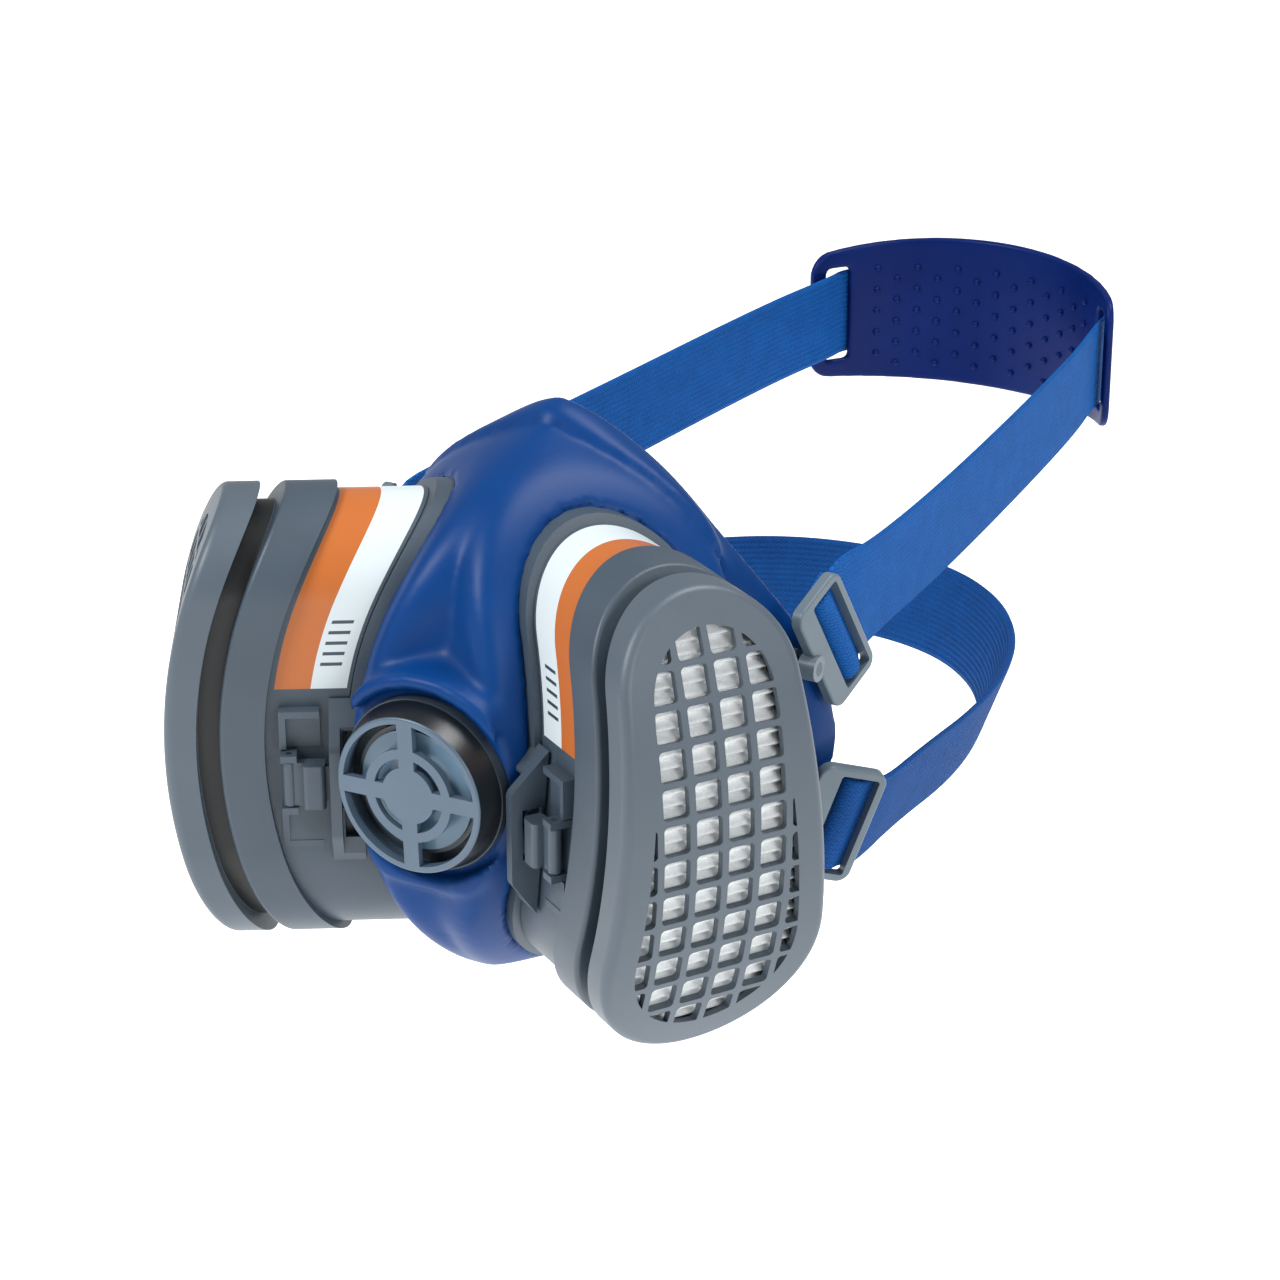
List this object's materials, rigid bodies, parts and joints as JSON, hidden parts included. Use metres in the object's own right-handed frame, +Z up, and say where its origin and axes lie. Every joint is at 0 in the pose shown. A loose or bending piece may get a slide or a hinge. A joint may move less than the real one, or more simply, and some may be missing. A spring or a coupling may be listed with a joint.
{
  "type": "half-mask respirator",
  "caption": "Reusable half-mask respirator with twin side filter cartridges, a front exhalation valve, and an adjustable head and neck harness.",
  "frame": {"origin": "middle of the face seal, where the mask meets the wearer's face", "axes": "+Z up, the wearer looks along -Y, +X to the wearer's left"},
  "size_m": [0.1668, 0.3226, 0.1251],
  "materials": {
    "elastomer": "satin moulded thermoplastic elastomer",
    "cap_plastic": "fine-textured moulded ABS",
    "grey_plastic": "satin moulded ABS",
    "dark_plastic": "satin moulded nylon",
    "valve_plastic": "satin moulded ABS",
    "buckle_plastic": "satin moulded acetal",
    "screen_plastic": "moulded polypropylene",
    "media_paper": "pleated glass-fibre paper",
    "carbon": "packed black granules",
    "label_film": "printed polyester film",
    "steel": "drawn wire",
    "gasket_rubber": "moulded nitrile",
    "webbing": "knitted elastic webbing",
    "cradle_rubber": "satin moulded elastomer",
    "clear_silicone": "clear silicone"
  },
  "bodies": {
    "mask": {"facepiece": "elastomer", "valve_base": "valve_plastic", "collar_right": "dark_plastic", "port_gasket_right": "gasket_rubber", "inhalation_seat_right": "valve_plastic", "collar_left": "dark_plastic", "port_gasket_left": "gasket_rubber", "inhalation_seat_left": "valve_plastic"},
    "cartridge_right": {"grille_cap_right": "cap_plastic", "pleated_media_right": "media_paper", "media_ring_right": "grey_plastic", "carbon_bed_right": "carbon", "outer_screen_right": "screen_plastic", "inner_screen_right": "screen_plastic", "cartridge_body_right": "grey_plastic", "label_right": "label_film", "clip_pin_right": "steel"},
    "clip_right": {"clip_right": "dark_plastic"},
    "flap_right": {"inhalation_flap_right": "clear_silicone"},
    "cartridge_left": {"grille_cap_left": "cap_plastic", "pleated_media_left": "media_paper", "media_ring_left": "grey_plastic", "carbon_bed_left": "carbon", "outer_screen_left": "screen_plastic", "inner_screen_left": "screen_plastic", "cartridge_body_left": "grey_plastic", "label_left": "label_film", "clip_pin_left": "steel"},
    "clip_left": {"clip_left": "dark_plastic"},
    "flap_left": {"inhalation_flap_left": "clear_silicone"},
    "diaphragm": {"valve_diaphragm": "clear_silicone"},
    "valve_cover": {"valve_cover": "valve_plastic"},
    "head_harness": {"upper_buckle_right": "buckle_plastic", "upper_buckle_left": "buckle_plastic", "head_strap": "webbing", "head_cradle": "cradle_rubber"},
    "neck_harness": {"lower_buckle_right": "buckle_plastic", "lower_buckle_left": "buckle_plastic", "neck_strap": "webbing"}
  },
  "joints": [
    {"name": "cartridge_right_pull", "type": "slide", "parent": "mask", "child": "cartridge_right", "axis": [0.848, -0.5299, 0], "range_m": [0, 0.03]},
    {"name": "clip_right_press", "type": "hinge", "parent": "cartridge_right", "child": "clip_right", "pos_m": [0.03385, -0.08056, -0.0065], "axis": [0, 0, 1], "range_deg": [0, 8], "stiffness_Nm_per_rad": 0.5},
    {"name": "inhalation_flap_right_lift", "type": "slide", "parent": "mask", "child": "flap_right", "axis": [-0.848, 0.5299, 0], "range_m": [0, 0.0016], "stiffness_N_per_m": 20},
    {"name": "cartridge_left_pull", "type": "slide", "parent": "mask", "child": "cartridge_left", "axis": [-0.848, -0.5299, 0], "range_m": [0, 0.03]},
    {"name": "clip_left_press", "type": "hinge", "parent": "cartridge_left", "child": "clip_left", "pos_m": [-0.03385, -0.08056, -0.0065], "axis": [0, 0, -1], "range_deg": [0, 8], "stiffness_Nm_per_rad": 0.5},
    {"name": "inhalation_flap_left_lift", "type": "slide", "parent": "mask", "child": "flap_left", "axis": [0.848, 0.5299, 0], "range_m": [0, 0.0016], "stiffness_N_per_m": 20},
    {"name": "diaphragm_lift", "type": "slide", "parent": "mask", "child": "diaphragm", "axis": [0, -1, 0], "range_m": [0, 0.0015], "stiffness_N_per_m": 20},
    {"name": "valve_cover_pull", "type": "slide", "parent": "mask", "child": "valve_cover", "axis": [0, -1, 0], "range_m": [0, 0.012]},
    {"name": "head_harness_swing", "type": "hinge", "parent": "mask", "child": "head_harness", "pos_m": [0, -0.00805, 0.01293], "axis": [1, 0, 0], "range_deg": [-5, 25]},
    {"name": "neck_harness_swing", "type": "hinge", "parent": "mask", "child": "neck_harness", "pos_m": [0, -0.00985, -0.02388], "axis": [1, 0, 0], "range_deg": [-25, 3]}
  ]
}
